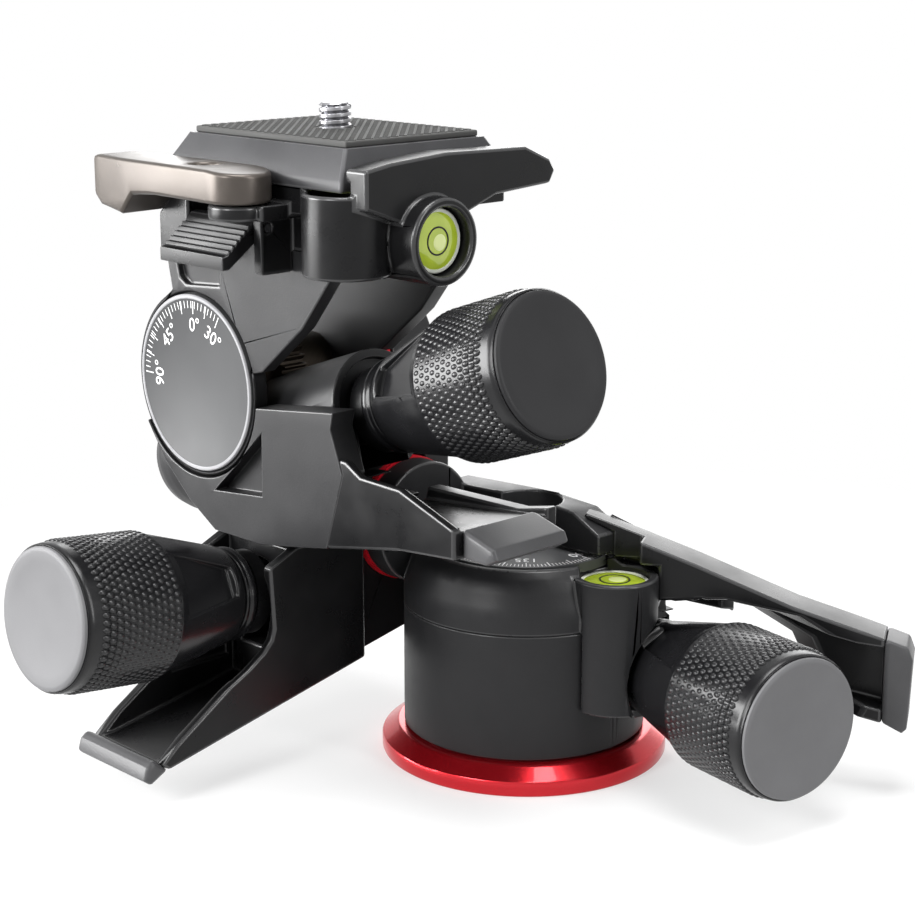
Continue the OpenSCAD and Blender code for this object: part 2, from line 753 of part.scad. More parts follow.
module receiver() {
    color("#1c1c1e") difference() {
        union() {
            translate([-52, -50.5, seat_z - 5]) cube([54, 42, 5]);
            slab_y(-46, -10.6) polygon([
                [-60.1, receiver_z + 4], [-60.1, seat_z - 6], [-52, seat_z - 4], [-6.7, seat_z - 4],
                [-6.7, receiver_z + 4]]);
            translate([tube_x, -46, 105]) cylinder(r = vial_tube_r, h = 15.6);
            translate([0, -34, 111.6]) bar_x(vial_tube_r, -12, 12);
            // shelf and lug of the lever's post
            translate([lever_x, lever_y, seat_z - 6]) cylinder(r = 5.6, h = lever_z - seat_z + 5.7);
            translate([lever_x - 5.6, lever_y, seat_z - 6])
                cube([12.4, 12, lever_z - seat_z + 5.7]);
            // wall and column that hold the catch's pin
            translate([-20.2, -53.8, 104]) cube([2.2, 7.8, seat_z - 108]);
            slab_y(-53.8, -46) polygon([
                [-50.4, 104], [-50.4, 113], [-46.2, 117], [-40.8, 117], [-40.8, 104]]);
            slab_x(plate_x + plate_len / 2 + run_gap, 8) polygon([
                [-50, 118.4], [-50, 125.6], [-43.7, 126.6], [-29.9, 127.6], [-8.6, 127.2],
                [-2.4, 124.6], [-0.6, 122], [-2, 119.6], [-16.7, 118.6], [-24, 116], [-32, 112]]);
        }
        translate([tube_x, -46, 113]) cylinder(r = vial_tube_r - 1.4, h = 10);
        translate([0, -34, 111.6]) bar_x(vial_tube_r - 1.8, 3, 14);
        translate([lever_x, lever_y, receiver_z]) cylinder(r = 2.5, h = 30);
        translate([0, catch_y, catch_z]) bar_x(0.8, -44, -10);
    }
}

module tube_vial() {
    color("yellowgreen") translate([tube_x, -46, 113]) cylinder(r = vial_tube_r - 1.4, h = 5.4);
}

module face_vial() {
    color("yellowgreen") translate([0, -34, 111.6]) bar_x(vial_tube_r - 1.8, 3, 9.8);
}

module camera_plate() {
    color("#28282a") difference() {
        intersection() {
            translate([plate_x, 0, 0]) slab_y(plate_y - plate_w, plate_y + plate_w) polygon([
                [-plate_len / 2, seat_z], [plate_len / 2, seat_z], [plate_len / 2, seat_z + 2.5],
                [pad_len / 2, plate_top], [-pad_len / 2, plate_top], [-plate_len / 2, seat_z + 2.5]]);
            translate([0, plate_y, 0]) slab_x(plate_x - plate_len, plate_x + plate_len) polygon([
                [-plate_w / 2, seat_z], [plate_w / 2, seat_z], [plate_w / 2, seat_z + 2.5],
                [pad_w / 2, plate_top], [-pad_w / 2, plate_top], [-plate_w / 2, seat_z + 2.5]]);
        }
        translate([plate_x, plate_y, seat_z - past]) cylinder(r = neck_r + shaft_gap, h = 20);
    }
}

module plate_pad() {
    color("#3a3a3c") difference() {
        translate([plate_x - pad_len / 2 + 1, plate_y - pad_w / 2 + 1, plate_top])
            cube([pad_len - 2, pad_w - 2, pad_t]);
        translate([plate_x, plate_y, seat_z - past]) cylinder(r = screw_r + 0.3, h = 20);
    }
}

// Captive camera screw: full thread above the pad, thinner neck in the plate.
module camera_screw() {
    color("silver") translate([plate_x, plate_y, 0]) union() {
        translate([0, 0, seat_z + 2]) cylinder(r = neck_r, h = plate_t + pad_t - 2 + screw_up / 2);
        translate([0, 0, plate_top + pad_t]) cylinder(r = screw_r, h = screw_up);
    }
}

module lever_post() {
    color("#2a2a2c") translate([lever_x, lever_y, seat_z - 6])
        cylinder(r = 2.5, h = lever_z - seat_z + 6 + 5);
}

// Clamping lever: flat on top, with a finger tab at its end and a square stop under its root.
module release_lever() {
    color("#5f5650") translate([lever_x, lever_y, lever_z]) difference() {
        intersection() {
            translate([0, 0, -10]) linear_extrude(20) union() {
                circle(r = 6.4);
                polygon([[0, 6.3], [-18, 6.4], [-32, 6.2], [-46.4, 5.1], [-44.6, -0.1],
                         [-41.7, -3.5], [-29, -5.1], [-16, -5.7], [0, -6.4]]);
            }
            slab_y(-13, 13) polygon([
                [8, 0], [8, 5.6], [-2, 6.4], [-40, 6.2], [-46.4, 5.2], [-46.4, 1.2],
                [-39.6, -3.8], [-31.4, -4.8], [-27, -0.6], [-20, 0]]);
        }
        translate([0, 0, -12]) cylinder(r = 2.55, h = 12 + 5.2);
        translate([-11, 0.9, -12]) cylinder(r = 3.2, h = 30);
    }
}

module catch_pin() {
    color("silver") translate([0, catch_y, catch_z]) bar_x(0.8, -44, -18);
}

// Safety catch: a ribbed finger tab that swings down on its pin.
module safety_catch() {
    color("#1c1c1e") difference() {
        union() {
            slab_x(-40.4, -20.6) polygon([
                [-51, 111.4], [-51, 114.4], [-53.4, 114.2],
                for (k = [0 : 5]) each [[-54 - k, 113.2 - 0.86 * k], [-54.4 - k, 113.5 - 0.86 * k],
                                        [-54.7 - k, 112.6 - 0.86 * k]],
                [-61, 108], [-61, 105.4], [-59.4, 105.4]]);
            translate([0, catch_y, catch_z]) bar_x(1.5, -40.4, -20.6);
        }
        translate([0, catch_y, catch_z]) bar_x(0.85, -50, -14);
    }
}

// ---- worm sets --------------------------------------------------------------------------------

module pan_carrier() { color("#2e2e30") at_pan_worm() carrier(pan_root); }
module front_carrier() { color("#2e2e30") at_front_worm() carrier(front_root); }
module side_carrier() { color("#2e2e30") at_side_worm() carrier(side_root); }
module pan_worm() { color("silver") at_pan_worm() worm(pan_root); }
module front_worm() { color("silver") at_front_worm() worm(front_root); }
module side_worm() { color("silver") at_side_worm() worm(side_root); }
module pan_knob() { color("#222224") at_pan_worm() knob(pan_root); }
module front_knob() { color("#222224") at_front_worm() knob(front_root); }
module side_knob() { color("#222224") at_side_worm() knob(side_root); }
module pan_knob_cap() { color("gray") at_pan_worm() knob_cap(pan_root); }
module front_knob_cap() { color("gray") at_front_worm() knob_cap(front_root); }
module side_knob_cap() { color("#303032") at_side_worm() knob_cap(side_root); }

base_ring();
base_hub();
pan_wheel();
pan_scale();
pan_drum();
pan_casing();
pan_arm();
pan_arm_tip();
pan_vial();
pan_pivot_pin();
front_axle();
front_wheel();
front_ring();
tilt_casing();
hinge_casing();
rear_wall();
centre_arm();
centre_arm_tip();
left_arm();
left_arm_tip();
scale_disc();
side_axle();
side_pivot_pin();
front_pivot_pin();
receiver();
front_cheek();
rear_cheek();
side_wheel();
top_ring();
tube_vial();
face_vial();
camera_plate();
plate_pad();
camera_screw();
lever_post();
release_lever();
catch_pin();
safety_catch();
pan_carrier();
front_carrier();
side_carrier();
pan_worm();
front_worm();
side_worm();
pan_knob();
front_knob();
side_knob();
pan_knob_cap();
front_knob_cap();
side_knob_cap();
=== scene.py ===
import json
import math
import bmesh
import bpy
from mathutils import Matrix, Vector


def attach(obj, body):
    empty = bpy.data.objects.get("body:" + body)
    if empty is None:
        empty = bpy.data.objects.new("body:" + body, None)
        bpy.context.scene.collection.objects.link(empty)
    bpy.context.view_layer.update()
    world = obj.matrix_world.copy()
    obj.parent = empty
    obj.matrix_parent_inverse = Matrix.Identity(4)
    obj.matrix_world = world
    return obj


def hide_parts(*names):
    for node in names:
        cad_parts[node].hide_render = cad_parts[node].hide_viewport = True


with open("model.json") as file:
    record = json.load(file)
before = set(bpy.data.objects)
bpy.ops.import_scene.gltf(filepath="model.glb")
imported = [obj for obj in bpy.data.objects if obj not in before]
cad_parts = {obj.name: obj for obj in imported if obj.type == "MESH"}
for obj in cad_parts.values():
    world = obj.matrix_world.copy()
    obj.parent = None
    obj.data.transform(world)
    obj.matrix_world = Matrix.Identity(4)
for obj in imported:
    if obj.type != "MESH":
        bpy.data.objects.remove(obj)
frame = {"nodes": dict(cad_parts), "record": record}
solids = frame["nodes"]
behaviour = frame["record"]["behaviour"]
carried_by = {n: b for b, names in behaviour["bodies"].items() for n in names}
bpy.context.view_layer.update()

# ---- Base ring -----------------------------------------------------------------------------
# The ring that rests on the tripod: turned aluminium, anodised red, with fine tool lines that
# run round its axis and a satin coat. The bare aluminium hub under it is turned the same way.


def feed(tree, node, *in_order, **by_name):
    """Gives a node's inputs their values, or links them where another node's output is given."""
    sockets = list(zip(node.inputs, in_order))
    sockets += [(node.inputs[key.replace("_", " ")], given) for key, given in by_name.items()]
    for socket, given in sockets:
        if isinstance(given, bpy.types.NodeSocket):
            tree.links.new(given, socket)
        else:
            socket.default_value = given


def add_node(tree, kind, *in_order, **by_name):
    """A node in a tree. Names in small letters are its settings, and the others its inputs."""
    made = tree.nodes.new(kind)
    for key in [key for key in by_name if key[0].islower()]:
        setattr(made, key, by_name.pop(key))
    feed(tree, made, *in_order, **by_name)
    return made


def new_finish(name, colour, rough, metal=0.0):
    """A new material with its Principled shader, plain values set on the shader's own sockets."""
    finish = bpy.data.materials.new(name)
    finish.use_nodes = True
    tree = finish.node_tree
    skin = next(n for n in tree.nodes if n.type == "BSDF_PRINCIPLED")
    feed(tree, skin, Base_Color=(*colour, 1), Roughness=rough, Metallic=metal)
    return finish, tree, skin


def new_group(name, inputs, outputs):
    """An empty shader node group with named sockets."""
    group = bpy.data.node_groups.new(name, "ShaderNodeTree")
    for key, kind, value in inputs:
        made = group.interface.new_socket(key, in_out="INPUT", socket_type=kind)
        if value is not None:
            made.default_value = value
    for key, kind in outputs:
        group.interface.new_socket(key, in_out="OUTPUT", socket_type=kind)
    return group, group.nodes.new("NodeGroupInput").outputs, group.nodes.new("NodeGroupOutput")


# Tool lines round an axis: height and shade both change with the distance from local Z.
tool_lines, line_in, line_out = new_group(
    "tool_lines",
    [("Place", "NodeSocketVector", None), ("Pitch", "NodeSocketFloat", 0.0002),
     ("Dark", "NodeSocketColor", (0.5, 0.5, 0.5, 1)),
     ("Light", "NodeSocketColor", (0.6, 0.6, 0.6, 1))],
    [("Colour", "NodeSocketColor"), ("Height", "NodeSocketFloat")])
parts = add_node(tool_lines, "ShaderNodeSeparateXYZ", line_in["Place"])
flat = add_node(tool_lines, "ShaderNodeCombineXYZ", parts.outputs["X"], parts.outputs["Y"])
reach = add_node(tool_lines, "ShaderNodeVectorMath", flat.outputs[0], operation="LENGTH")
count = add_node(tool_lines, "ShaderNodeMath", reach.outputs["Value"], line_in["Pitch"],
                 operation="DIVIDE")
streak = add_node(tool_lines, "ShaderNodeTexNoise", noise_dimensions="1D", W=count.outputs[0],
                  Scale=1.0, Detail=2.0)
shade = add_node(tool_lines, "ShaderNodeMix", data_type="RGBA", Factor=streak.outputs["Fac"],
                 A=line_in["Dark"], B=line_in["Light"])
feed(tool_lines, line_out, Colour=shade.outputs["Result"], Height=streak.outputs["Fac"])


def turned_finish(name, dark, light, rough, metal, coat=0.0):
    """Turned metal, with tool lines round the frame's Z."""
    finish, tree, skin = new_finish(name, light, rough, metal)
    where = add_node(tree, "ShaderNodeTexCoord")
    lines = add_node(tree, "ShaderNodeGroup", node_tree=tool_lines, Place=where.outputs["Object"],
                     Pitch=0.00018, Dark=(*dark, 1), Light=(*light, 1))
    bump = add_node(tree, "ShaderNodeBump", Strength=0.35, Distance=0.00001,
                    Height=lines.outputs["Height"])
    feed(tree, skin, Base_Color=lines.outputs["Colour"], Normal=bump.outputs["Normal"],
         Coat_Weight=coat)
    return finish


red_ring = turned_finish("red_anodised", (0.42, 0.006, 0.012), (0.60, 0.012, 0.022), 0.26, 0.75,
                         coat=0.3)
hub_metal = turned_finish("bare_aluminium", (0.50, 0.50, 0.51), (0.66, 0.66, 0.68), 0.32, 1.0)


def new_piece(name, data):
    """An object in the scene."""
    piece = bpy.data.objects.new(name, data)
    bpy.context.scene.collection.objects.link(piece)
    return piece


def stand_for(piece, name):
    """A finished piece rides where a solid does, and stands for it."""
    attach(piece, carried_by[name])
    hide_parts(name)
    return piece


def dress(finish, *names):
    """Gives carried-over solids a finish."""
    for name in names:
        solids[name].data.materials.clear()
        solids[name].data.materials.append(finish)


turned_fold = math.radians(32)  # a turned piece stays sharp where it folds more than this


def turned_shape(name, profile, place, finishes, rings=128, band=()):
    """A closed shape turned round local Z from (radius, height) pairs in millimetres. The steps
    of the profile whose numbers are in band take the second finish."""
    mesh = bpy.data.meshes.new(name)
    work = bmesh.new()
    loops = []
    for radius, height in profile:
        spots = [Vector((radius / 1000 * math.cos(2 * math.pi * k / rings),
                         radius / 1000 * math.sin(2 * math.pi * k / rings), height / 1000))
                 for k in range(rings if radius else 1)]
        loops.append([work.verts.new(place @ spot) for spot in spots])
    pairs = list(zip(loops, loops[1:]))
    if len(loops[0]) > 1 and len(loops[-1]) > 1:
        pairs.append((loops[-1], loops[0]))
    for step, (low, high) in enumerate(pairs):
        for k in range(rings):
            after = (k + 1) % rings
            corners = list(dict.fromkeys([low[k % len(low)], low[after % len(low)],
                                          high[after % len(high)], high[k % len(high)]]))
            if len(corners) > 2:
                work.faces.new(corners).material_index = int(step in band)
    bmesh.ops.recalc_face_normals(work, faces=work.faces)
    work.to_mesh(mesh)
    work.free()
    mesh.shade_smooth()
    mesh.set_sharp_from_angle(angle=turned_fold)
    for finish in finishes:
        mesh.materials.append(finish)
    return new_piece(name, mesh)


ring_piece = turned_shape("base_ring_turned", [
    (23.1, 0.6), (25.1, 0.0), (29.5, 0.0), (29.85, 0.15), (30.0, 0.5), (30.0, 2.9), (29.85, 3.2),
    (29.5, 3.4), (27.0, 5.2), (26.6, 5.45), (26.2, 5.5), (23.1, 5.5)],
    Matrix.Identity(4), [red_ring])
stand_for(ring_piece, "base_ring")
dress(hub_metal, "base_hub")

# ---- Worm gears -----------------------------------------------------------------------------
# Three bronze wheels and three hardened steel worms. They are the real gears of the head, so
# they keep the solids' teeth. Two wheels are inside the housings, and the third, which shows
# between the cheeks, is near black as painted shade of the gap. Pins and axles are ground steel.
bronze = turned_finish("gear_bronze", (0.42, 0.27, 0.13), (0.62, 0.43, 0.23), 0.34, 1.0)
dress(bronze, "pan_wheel", "front_wheel")
# The visible wheel's near-black bronze is painted shade of the gap between the cheeks.
gap_shaded_bronze = turned_finish("gear_bronze_gap_shade", (0.035, 0.028, 0.022), (0.060, 0.048, 0.036), 0.42, 0.8)
dress(gap_shaded_bronze, "side_wheel")
steel = turned_finish("ground_steel", (0.30, 0.30, 0.31), (0.42, 0.42, 0.44), 0.28, 1.0)
dress(steel, "pan_worm", "front_worm", "side_worm", "pan_pivot_pin", "front_pivot_pin",
      "side_pivot_pin", "front_axle", "side_axle", "catch_pin")

# ---- Housings --------------------------------------------------------------------------------
# Cast and moulded shells with a fine spark-eroded skin: satin black, a little greyer where the
# light grazes the grain. The rounded edges are smoother, with a painted highlight in their
# lighter colour. One group gives the grain.
grain, grain_in, grain_out = new_group(
    "moulded_grain",
    [("Place", "NodeSocketVector", None), ("Size", "NodeSocketFloat", 2600.0),
     ("Dark", "NodeSocketColor", (0.02, 0.02, 0.02, 1)),
     ("Light", "NodeSocketColor", (0.05, 0.05, 0.05, 1)),
     ("Smooth", "NodeSocketFloat", 0.36), ("Rough", "NodeSocketFloat", 0.56)],
    [("Colour", "NodeSocketColor"), ("Roughness", "NodeSocketFloat"),
     ("Height", "NodeSocketFloat")])
pits = add_node(grain, "ShaderNodeTexNoise", Vector=grain_in["Place"], Scale=grain_in["Size"],
                Detail=3.0, Roughness=0.6)
clouds = add_node(grain, "ShaderNodeTexNoise", Vector=grain_in["Place"], Scale=90.0, Detail=4.0,
                  Roughness=0.6)
tint = add_node(grain, "ShaderNodeMix", data_type="RGBA", Factor=clouds.outputs["Fac"],
                A=grain_in["Dark"], B=grain_in["Light"])
spread = add_node(grain, "ShaderNodeMapRange", Value=clouds.outputs["Fac"], From_Min=0.3,
                  From_Max=0.7, To_Min=grain_in["Smooth"], To_Max=grain_in["Rough"])
feed(grain, grain_out, Colour=tint.outputs["Result"], Roughness=spread.outputs["Result"],
     Height=pits.outputs["Fac"])


def grained_finish(name, dark, light, smooth, rough, metal=0.0, size=2600.0, depth=0.00004,
                   strength=0.5, shine=0.22):
    """A moulded or cast skin with fine grain."""
    finish, tree, skin = new_finish(name, light, rough, metal)
    where = add_node(tree, "ShaderNodeTexCoord")
    skin_grain = add_node(tree, "ShaderNodeGroup", node_tree=grain, Place=where.outputs["Object"],
                          Size=size, Dark=(*dark, 1), Light=(*light, 1), Smooth=smooth,
                          Rough=rough)
    bump = add_node(tree, "ShaderNodeBump", Strength=strength, Distance=depth,
                    Height=skin_grain.outputs["Height"])
    feed(tree, skin, Base_Color=skin_grain.outputs["Colour"],
         Roughness=skin_grain.outputs["Roughness"], Normal=bump.outputs["Normal"],
         Specular_IOR_Level=shine)
    return finish


shell = grained_finish("black_shell", (0.010, 0.010, 0.011), (0.018, 0.018, 0.019), 0.36, 0.50,
                       shine=0.24)
# The edge finish is lighter than the shell: a painted highlight on the rounded edges.
shell_edge_highlight = grained_finish("black_shell_edge_highlight", (0.022, 0.022, 0.023), (0.040, 0.040, 0.041),
                            0.24, 0.34, depth=0.00002, shine=0.40)
polymer = grained_finish("black_polymer", (0.005, 0.005, 0.0055), (0.010, 0.010, 0.0105),
                         0.24, 0.36, size=3400.0, depth=0.00002, strength=0.3, shine=0.20)
# The edge finish is lighter than the polymer: a painted highlight on the rounded edges.
polymer_edge_highlight = grained_finish("black_polymer_edge_highlight", (0.022, 0.022, 0.023), (0.040, 0.040, 0.041),
                              0.18, 0.28, depth=0.00001, shine=0.45)
tip_skin = grained_finish("arm_tip", (0.05, 0.05, 0.052), (0.085, 0.085, 0.088), 0.30, 0.42)

weld, least_edge = 0.00001, 0.00002  # what a solid's mesh is cleaned by before it is rounded
rounded_fold = math.radians(35)      # an edge is rounded where it folds more than this
settled_fold = math.radians(38)      # a piece stays sharp where it folds more than this


def applied(piece):
    """Turns a piece with modifiers into a plain mesh."""
    bpy.context.view_layer.update()
    seen = piece.evaluated_get(bpy.context.evaluated_depsgraph_get())
    mesh = bpy.data.meshes.new_from_object(seen)
    piece.modifiers.clear()
    piece.data = mesh
    return mesh


def settled(piece, name):
    """Turns a piece with modifiers into a plain mesh in a solid's place."""
    mesh = applied(piece)
    if not mesh.has_custom_normals:
        mesh.shade_smooth()
        mesh.set_sharp_from_angle(angle=settled_fold)
    return stand_for(piece, name)


def rounded(name, width, *finishes):
    """A copy of a solid with its sharp edges rounded, which stands for that solid. Where two
    finishes are given, the second is on the rounded edges."""
    work = bmesh.new()
    work.from_mesh(solids[name].data)
    bmesh.ops.remove_doubles(work, verts=work.verts, dist=weld)
    bmesh.ops.dissolve_degenerate(work, edges=work.edges, dist=least_edge)
    mesh = bpy.data.meshes.new(name + "_skin")
    work.to_mesh(mesh)
    work.free()
    mesh.shade_smooth()
    for finish in finishes:
        mesh.materials.append(finish)
    piece = new_piece(name + "_skin", mesh)
    edge = piece.modifiers.new("edges", "BEVEL")
    edge.width = width
    edge.segments = 2
    edge.limit_method = "ANGLE"
    edge.angle_limit = rounded_fold
    edge.use_clamp_overlap = False
    edge.loop_slide = True
    edge.material = len(finishes) - 1
    flat_faces = piece.modifiers.new("flat_faces", "WEIGHTED_NORMAL")
    flat_faces.mode = "FACE_AREA"
    flat_faces.weight = 100
    return settled(piece, name)


for name in ("pan_casing", "rear_wall", "front_cheek", "rear_cheek"):
    rounded(name, 0.0005, shell, shell_edge_highlight)
for name in ("pan_drum", "tilt_casing", "hinge_casing"):
    rounded(name, 0.00028, shell, shell_edge_highlight)
for name in ("pan_arm", "centre_arm", "left_arm", "receiver"):
    rounded(name, 0.0006, polymer, polymer_edge_highlight)
for name in ("pan_arm_tip", "centre_arm_tip", "left_arm_tip"):
    rounded(name, 0.0009, tip_skin)
dress(polymer, "pan_carrier", "front_carrier", "side_carrier")

# ---- Red joint rings -------------------------------------------------------------------------
# Thin red rings that show in the gaps of both tilt joints, moulded in satin plastic.
joint_red = grained_finish("joint_red", (0.55, 0.008, 0.018), (0.70, 0.015, 0.030), 0.26, 0.38,
                           depth=0.00001, strength=0.2)
dress(joint_red, "front_ring", "top_ring")

# ---- Scale discs -----------------------------------------------------------------------------
# The big dial and the disc on top of the pan housing: grey plates with white printed ticks and
# numbers. The dial has a raised light rim.
dial_grey = grained_finish("dial_grey", (0.052, 0.053, 0.055), (0.070, 0.071, 0.073), 0.42, 0.52,
                           size=3000.0, depth=0.00001, strength=0.25)
dial_rim = grained_finish("dial_rim", (0.26, 0.26, 0.27), (0.36, 0.36, 0.37), 0.26, 0.34,
                          depth=0.00001, strength=0.2)
print_white, ink_tree, ink_skin = new_finish("print_white", (0.80, 0.80, 0.80), 0.5)
ink_place = add_node(ink_tree, "ShaderNodeTexCoord")
ink_wear = add_node(ink_tree, "ShaderNodeTexNoise", Vector=ink_place.outputs["Object"],
                    Scale=2200.0, Detail=2.0)
ink_tone = add_node(ink_tree, "ShaderNodeMapRange", Value=ink_wear.outputs["Fac"], To_Min=0.42,
                    To_Max=0.60)
feed(ink_tree, ink_skin, Roughness=ink_tone.outputs["Result"])

joints = {joint["name"]: joint for joint in behaviour["joints"]}
dial_axis = Vector(joints["side_tilt"]["pos_m"])
dial_face_y = -0.0464
# Local +Z of the dial's own place points out of its face, -Y, and local +Y points up.
dial_place = (Matrix.Translation((dial_axis.x, dial_face_y, dial_axis.z))
              @ Matrix.Rotation(math.radians(90), 4, "X"))
rim_steps = (2, 3, 4, 5)
dial_piece = turned_shape("scale_disc_face", [
    (0, 0.0), (17.3, 0.0), (17.5, 0.12), (17.7, 0.25), (18.1, 0.25), (18.3, 0.1), (18.4, -0.1),
    (18.4, -1.4), (0, -1.4)], dial_place, [dial_grey, dial_rim], band=rim_steps)
stand_for(dial_piece, "scale_disc")
dress(dial_grey, "pan_scale")


def rule_tree(name, sizes):
    """An empty Geometry Nodes tree with one named input for each size (a decimal) and each count
    (a whole number), with the sockets of its two ends."""
    tree = bpy.data.node_groups.new(name + "_nodes", "GeometryNodeTree")
    for key, value in sizes.items():
        kind = "NodeSocketInt" if isinstance(value, int) else "NodeSocketFloat"
        tree.interface.new_socket(key, in_out="INPUT", socket_type=kind)
    tree.interface.new_socket("Geometry", in_out="OUTPUT", socket_type="NodeSocketGeometry")
    given = tree.nodes.new("NodeGroupInput").outputs
    return tree, given, tree.nodes.new("NodeGroupOutput")


def worked_out(tree, operation, *values):
    """The result of one sum in a tree."""
    return add_node(tree, "ShaderNodeMath", *values, operation=operation).outputs[0]


def grown(name, tree, sizes, place, body):
    """The mesh that a Geometry Nodes tree makes from its sizes, set in its place on a body."""
    piece = new_piece(name, bpy.data.meshes.new(name))
    rule = piece.modifiers.new("rule", "NODES")
    rule.node_group = tree
    for socket in tree.interface.items_tree:
        if socket.in_out == "INPUT":
            rule[socket.identifier] = sizes[socket.name]
    mesh = applied(piece)
    mesh.transform(place)
    mesh.update()
    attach(piece, body)
    return piece


def mark_ring(name, place, finish, body, sizes):
    """Ticks on an arc, made by a Geometry Nodes tree: count, radius, first and last angle in
    degrees (0 is local +Y, positive is clockwise from the front), tick length, width, height."""
    tree, given, result = rule_tree(name, sizes)
    line = add_node(tree, "GeometryNodeMeshLine", Count=given["Ticks"])
    index = add_node(tree, "GeometryNodeInputIndex").outputs[0]
    share = worked_out(tree, "DIVIDE", index, worked_out(tree, "SUBTRACT", given["Ticks"], 1))
    degrees = add_node(tree, "ShaderNodeMapRange", Value=share, To_Min=given["First"],
                       To_Max=given["Last"])
    clockwise = worked_out(tree, "RADIANS", degrees.outputs["Result"])
    angle = worked_out(tree, "MULTIPLY", clockwise, -1)
    top = add_node(tree, "ShaderNodeCombineXYZ", Y=given["Radius"])
    spot = add_node(tree, "ShaderNodeVectorRotate", rotation_type="Z_AXIS", Vector=top.outputs[0],
                    Angle=angle)
    put = add_node(tree, "GeometryNodeSetPosition", Geometry=line.outputs["Mesh"],
                   Position=spot.outputs[0])
    size = add_node(tree, "ShaderNodeCombineXYZ", given["Width"], given["Length"], given["Rise"])
    tick = add_node(tree, "GeometryNodeMeshCube", Size=size.outputs[0])
    turn = add_node(tree, "ShaderNodeCombineXYZ", Z=angle)
    copies = add_node(tree, "GeometryNodeInstanceOnPoints", Points=put.outputs["Geometry"],
                      Instance=tick.outputs["Mesh"], Rotation=turn.outputs[0])
    real = add_node(tree, "GeometryNodeRealizeInstances", copies.outputs["Instances"])
    paint = add_node(tree, "GeometryNodeSetMaterial", Geometry=real.outputs["Geometry"],
                     Material=finish)
    feed(tree, result, Geometry=paint.outputs["Geometry"])
    return grown(name, tree, sizes, place, body)


ink_rise = 0.00003


def number(name, words, size, place, finish, body):
    """Printed numbers as thin raised ink."""
    text = bpy.data.curves.new(name + "_text", "FONT")
    text.body = words
    text.size = size
    text.align_x = "CENTER"
    text.align_y = "CENTER"
    text.extrude = ink_rise
    text.resolution_u = 6
    shape = new_piece(name + "_text", text)
    bpy.context.view_layer.update()
    seen = shape.evaluated_get(bpy.context.evaluated_depsgraph_get())
    mesh = bpy.data.meshes.new_from_object(seen)
    bpy.data.objects.remove(shape)
    mesh.transform(place)
    mesh.materials.clear()
    mesh.materials.append(finish)
    piece = new_piece(name, mesh)
    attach(piece, body)
    return piece


def on_dial(degrees, across, up):
    """A place on a dial, clockwise from its top, just proud of its face."""
    turn = Matrix.Rotation(math.radians(-degrees), 4, "Z")
    return turn @ Matrix.Translation((across, up, 0.00002))


mark_ring("dial_ticks_fine", dial_place, print_white, "tilt_body", {
    "Ticks": 31, "Radius": 0.01625, "First": -90.0, "Last": 30.0, "Length": 0.0015,
    "Width": 0.00016, "Rise": 0.00006})
mark_ring("dial_ticks_long", dial_place, print_white, "tilt_body", {
    "Ticks": 9, "Radius": 0.0157, "First": -90.0, "Last": 30.0, "Length": 0.0026,
    "Width": 0.0002, "Rise": 0.00007})
for words, degrees in (("90°", -90), ("45°", -45), ("0°", 0), ("30°", 30)):
    number("dial_number_" + words[:-1], words, 0.0040,
           dial_place @ on_dial(degrees, 0.0004, 0.0120), print_white, "tilt_body")
pan_scale_top = 0.0446
pan_place = Matrix.Translation((0, 0, pan_scale_top))
mark_ring("pan_ticks", pan_place, print_white, "base", {
    "Ticks": 145, "Radius": 0.0178, "First": -180.0, "Last": 180.0, "Length": 0.0014,
    "Width": 0.00016, "Rise": 0.00006})
mark_ring("pan_ticks_long", pan_place, print_white, "base", {
    "Ticks": 25, "Radius": 0.0173, "First": -180.0, "Last": 180.0, "Length": 0.0024,
    "Width": 0.0002, "Rise": 0.00007})
for degrees in range(0, 360, 45):
    number("pan_number_%d" % degrees, str(degrees), 0.0032,
           pan_place @ on_dial(degrees, 0, 0.0142), print_white, "base")

# ---- Spirit levels ---------------------------------------------------------------------------
# Three round levels: a yellow-green liquid with a bubble under a clear dome, a black centre ring
# printed on it, set in the housings with a white ring round it.
liquid, liquid_tree, liquid_skin = new_finish("level_liquid", (0.52, 0.68, 0.04), 0.08)
liquid_place = add_node(liquid_tree, "ShaderNodeTexCoord")
liquid_cloud = add_node(liquid_tree, "ShaderNodeTexNoise", Vector=liquid_place.outputs["Object"],
                        Scale=260.0, Detail=1.0)
liquid_tone = add_node(liquid_tree, "ShaderNodeValToRGB", Fac=liquid_cloud.outputs["Fac"])
liquid_tone.color_ramp.elements[0].color = (0.34, 0.46, 0.02, 1)
liquid_tone.color_ramp.elements[1].color = (0.54, 0.66, 0.06, 1)
# The liquid's faint emission is a painted glow; the liquid is no lamp.
feed(liquid_tree, liquid_skin, Base_Color=liquid_tone.outputs["Color"], Coat_Weight=1.0,
     Emission_Color=liquid_tone.outputs["Color"], Emission_Strength=0.06)
level_white = grained_finish("level_white", (0.60, 0.62, 0.55), (0.72, 0.74, 0.66), 0.25, 0.35,
                             depth=0.00001, strength=0.1)
level_black = grained_finish("level_black", (0.01, 0.01, 0.01), (0.02, 0.02, 0.02), 0.25, 0.35,
                             depth=0.00001, strength=0.1)
bubble_finish, bubble_tree, bubble_skin = new_finish("level_bubble", (0.80, 0.90, 0.35), 0.03)
feed(bubble_tree, bubble_skin, Coat_Weight=1.0)

